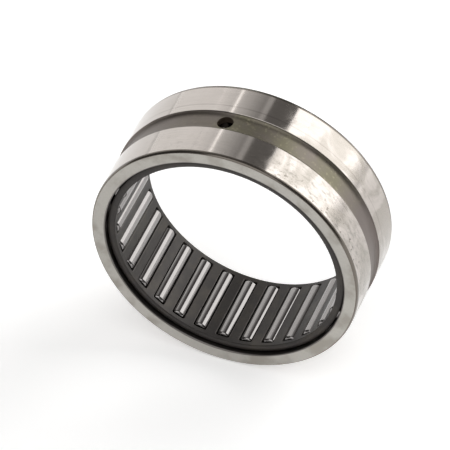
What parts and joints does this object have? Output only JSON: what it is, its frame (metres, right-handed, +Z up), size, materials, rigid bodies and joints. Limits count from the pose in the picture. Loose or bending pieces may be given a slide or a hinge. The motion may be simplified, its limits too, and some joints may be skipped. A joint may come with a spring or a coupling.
{
  "type": "needle roller bearing",
  "caption": "Needle roller bearing without an inner ring: a machined outer ring with an oil groove and oil hole, a window cage and a full row of needle rollers that run on the shaft.",
  "frame": {"origin": "centre of the bearing, on its axis and half way between its end faces", "axes": "+Y along the bearing's axis, +Z up with the bearing standing on its rim"},
  "size_m": [0.055, 0.02, 0.055],
  "materials": {
    "ring_steel": "ground through-hardened bearing steel, bright on the outside diameter and satin on the faces",
    "cage_steel": "dark oxidised steel, satin",
    "roller_steel": "polished bearing steel"
  },
  "bodies": {
    "outer_ring": {"outer_ring": "ring_steel"},
    "cage": {"cage": "cage_steel"},
    "roller_01": {"needle_roller_01": "roller_steel"},
    "roller_02": {"needle_roller_02": "roller_steel"},
    "roller_03": {"needle_roller_03": "roller_steel"},
    "roller_04": {"needle_roller_04": "roller_steel"},
    "roller_05": {"needle_roller_05": "roller_steel"},
    "roller_06": {"needle_roller_06": "roller_steel"},
    "roller_07": {"needle_roller_07": "roller_steel"},
    "roller_08": {"needle_roller_08": "roller_steel"},
    "roller_09": {"needle_roller_09": "roller_steel"},
    "roller_10": {"needle_roller_10": "roller_steel"},
    "roller_11": {"needle_roller_11": "roller_steel"},
    "roller_12": {"needle_roller_12": "roller_steel"},
    "roller_13": {"needle_roller_13": "roller_steel"},
    "roller_14": {"needle_roller_14": "roller_steel"},
    "roller_15": {"needle_roller_15": "roller_steel"},
    "roller_16": {"needle_roller_16": "roller_steel"},
    "roller_17": {"needle_roller_17": "roller_steel"},
    "roller_18": {"needle_roller_18": "roller_steel"},
    "roller_19": {"needle_roller_19": "roller_steel"},
    "roller_20": {"needle_roller_20": "roller_steel"},
    "roller_21": {"needle_roller_21": "roller_steel"},
    "roller_22": {"needle_roller_22": "roller_steel"},
    "roller_23": {"needle_roller_23": "roller_steel"},
    "roller_24": {"needle_roller_24": "roller_steel"},
    "roller_25": {"needle_roller_25": "roller_steel"},
    "roller_26": {"needle_roller_26": "roller_steel"},
    "roller_27": {"needle_roller_27": "roller_steel"},
    "roller_28": {"needle_roller_28": "roller_steel"},
    "roller_29": {"needle_roller_29": "roller_steel"},
    "roller_30": {"needle_roller_30": "roller_steel"}
  },
  "joints": [
    {"name": "cage_turn", "type": "hinge", "parent": "outer_ring", "child": "cage", "pos_m": [0, 0, 0], "axis": [0, 1, 0], "continuous": true},
    {"name": "roller_01_spin", "type": "hinge", "parent": "cage", "child": "roller_01", "pos_m": [0.02396, 0, 0.00142], "axis": [0, 1, 0], "continuous": true},
    {"name": "roller_02_spin", "type": "hinge", "parent": "cage", "child": "roller_02", "pos_m": [0.02314, 0, 0.00637], "axis": [0, 1, 0], "continuous": true},
    {"name": "roller_03_spin", "type": "hinge", "parent": "cage", "child": "roller_03", "pos_m": [0.02131, 0, 0.01104], "axis": [0, 1, 0], "continuous": true},
    {"name": "roller_04_spin", "type": "hinge", "parent": "cage", "child": "roller_04", "pos_m": [0.01855, 0, 0.01523], "axis": [0, 1, 0], "continuous": true},
    {"name": "roller_05_spin", "type": "hinge", "parent": "cage", "child": "roller_05", "pos_m": [0.01497, 0, 0.01876], "axis": [0, 1, 0], "continuous": true},
    {"name": "roller_06_spin", "type": "hinge", "parent": "cage", "child": "roller_06", "pos_m": [0.01075, 0, 0.02146], "axis": [0, 1, 0], "continuous": true},
    {"name": "roller_07_spin", "type": "hinge", "parent": "cage", "child": "roller_07", "pos_m": [0.00605, 0, 0.02323], "axis": [0, 1, 0], "continuous": true},
    {"name": "roller_08_spin", "type": "hinge", "parent": "cage", "child": "roller_08", "pos_m": [0.00109, 0, 0.02398], "axis": [0, 1, 0], "continuous": true},
    {"name": "roller_09_spin", "type": "hinge", "parent": "cage", "child": "roller_09", "pos_m": [-0.00392, 0, 0.02368], "axis": [0, 1, 0], "continuous": true},
    {"name": "roller_10_spin", "type": "hinge", "parent": "cage", "child": "roller_10", "pos_m": [-0.00876, 0, 0.02235], "axis": [0, 1, 0], "continuous": true},
    {"name": "roller_11_spin", "type": "hinge", "parent": "cage", "child": "roller_11", "pos_m": [-0.01321, 0, 0.02004], "axis": [0, 1, 0], "continuous": true},
    {"name": "roller_12_spin", "type": "hinge", "parent": "cage", "child": "roller_12", "pos_m": [-0.01709, 0, 0.01685], "axis": [0, 1, 0], "continuous": true},
    {"name": "roller_13_spin", "type": "hinge", "parent": "cage", "child": "roller_13", "pos_m": [-0.02022, 0, 0.01293], "axis": [0, 1, 0], "continuous": true},
    {"name": "roller_14_spin", "type": "hinge", "parent": "cage", "child": "roller_14", "pos_m": [-0.02247, 0, 0.00844], "axis": [0, 1, 0], "continuous": true},
    {"name": "roller_15_spin", "type": "hinge", "parent": "cage", "child": "roller_15", "pos_m": [-0.02373, 0, 0.00359], "axis": [0, 1, 0], "continuous": true},
    {"name": "roller_16_spin", "type": "hinge", "parent": "cage", "child": "roller_16", "pos_m": [-0.02396, 0, -0.00142], "axis": [0, 1, 0], "continuous": true},
    {"name": "roller_17_spin", "type": "hinge", "parent": "cage", "child": "roller_17", "pos_m": [-0.02314, 0, -0.00637], "axis": [0, 1, 0], "continuous": true},
    {"name": "roller_18_spin", "type": "hinge", "parent": "cage", "child": "roller_18", "pos_m": [-0.02131, 0, -0.01104], "axis": [0, 1, 0], "continuous": true},
    {"name": "roller_19_spin", "type": "hinge", "parent": "cage", "child": "roller_19", "pos_m": [-0.01855, 0, -0.01523], "axis": [0, 1, 0], "continuous": true},
    {"name": "roller_20_spin", "type": "hinge", "parent": "cage", "child": "roller_20", "pos_m": [-0.01497, 0, -0.01876], "axis": [0, 1, 0], "continuous": true},
    {"name": "roller_21_spin", "type": "hinge", "parent": "cage", "child": "roller_21", "pos_m": [-0.01075, 0, -0.02146], "axis": [0, 1, 0], "continuous": true},
    {"name": "roller_22_spin", "type": "hinge", "parent": "cage", "child": "roller_22", "pos_m": [-0.00605, 0, -0.02323], "axis": [0, 1, 0], "continuous": true},
    {"name": "roller_23_spin", "type": "hinge", "parent": "cage", "child": "roller_23", "pos_m": [-0.00109, 0, -0.02398], "axis": [0, 1, 0], "continuous": true},
    {"name": "roller_24_spin", "type": "hinge", "parent": "cage", "child": "roller_24", "pos_m": [0.00392, 0, -0.02368], "axis": [0, 1, 0], "continuous": true},
    {"name": "roller_25_spin", "type": "hinge", "parent": "cage", "child": "roller_25", "pos_m": [0.00876, 0, -0.02235], "axis": [0, 1, 0], "continuous": true},
    {"name": "roller_26_spin", "type": "hinge", "parent": "cage", "child": "roller_26", "pos_m": [0.01321, 0, -0.02004], "axis": [0, 1, 0], "continuous": true},
    {"name": "roller_27_spin", "type": "hinge", "parent": "cage", "child": "roller_27", "pos_m": [0.01709, 0, -0.01685], "axis": [0, 1, 0], "continuous": true},
    {"name": "roller_28_spin", "type": "hinge", "parent": "cage", "child": "roller_28", "pos_m": [0.02022, 0, -0.01293], "axis": [0, 1, 0], "continuous": true},
    {"name": "roller_29_spin", "type": "hinge", "parent": "cage", "child": "roller_29", "pos_m": [0.02247, 0, -0.00844], "axis": [0, 1, 0], "continuous": true},
    {"name": "roller_30_spin", "type": "hinge", "parent": "cage", "child": "roller_30", "pos_m": [0.02373, 0, -0.00359], "axis": [0, 1, 0], "continuous": true}
  ],
  "couplings": [
    {"joint": "roller_01_spin", "follows": "cage_turn", "ratio": -17},
    {"joint": "roller_02_spin", "follows": "cage_turn", "ratio": -17},
    {"joint": "roller_03_spin", "follows": "cage_turn", "ratio": -17},
    {"joint": "roller_04_spin", "follows": "cage_turn", "ratio": -17},
    {"joint": "roller_05_spin", "follows": "cage_turn", "ratio": -17},
    {"joint": "roller_06_spin", "follows": "cage_turn", "ratio": -17},
    {"joint": "roller_07_spin", "follows": "cage_turn", "ratio": -17},
    {"joint": "roller_08_spin", "follows": "cage_turn", "ratio": -17},
    {"joint": "roller_09_spin", "follows": "cage_turn", "ratio": -17},
    {"joint": "roller_10_spin", "follows": "cage_turn", "ratio": -17},
    {"joint": "roller_11_spin", "follows": "cage_turn", "ratio": -17},
    {"joint": "roller_12_spin", "follows": "cage_turn", "ratio": -17},
    {"joint": "roller_13_spin", "follows": "cage_turn", "ratio": -17},
    {"joint": "roller_14_spin", "follows": "cage_turn", "ratio": -17},
    {"joint": "roller_15_spin", "follows": "cage_turn", "ratio": -17},
    {"joint": "roller_16_spin", "follows": "cage_turn", "ratio": -17},
    {"joint": "roller_17_spin", "follows": "cage_turn", "ratio": -17},
    {"joint": "roller_18_spin", "follows": "cage_turn", "ratio": -17},
    {"joint": "roller_19_spin", "follows": "cage_turn", "ratio": -17},
    {"joint": "roller_20_spin", "follows": "cage_turn", "ratio": -17},
    {"joint": "roller_21_spin", "follows": "cage_turn", "ratio": -17},
    {"joint": "roller_22_spin", "follows": "cage_turn", "ratio": -17},
    {"joint": "roller_23_spin", "follows": "cage_turn", "ratio": -17},
    {"joint": "roller_24_spin", "follows": "cage_turn", "ratio": -17},
    {"joint": "roller_25_spin", "follows": "cage_turn", "ratio": -17},
    {"joint": "roller_26_spin", "follows": "cage_turn", "ratio": -17},
    {"joint": "roller_27_spin", "follows": "cage_turn", "ratio": -17},
    {"joint": "roller_28_spin", "follows": "cage_turn", "ratio": -17},
    {"joint": "roller_29_spin", "follows": "cage_turn", "ratio": -17},
    {"joint": "roller_30_spin", "follows": "cage_turn", "ratio": -17}
  ]
}
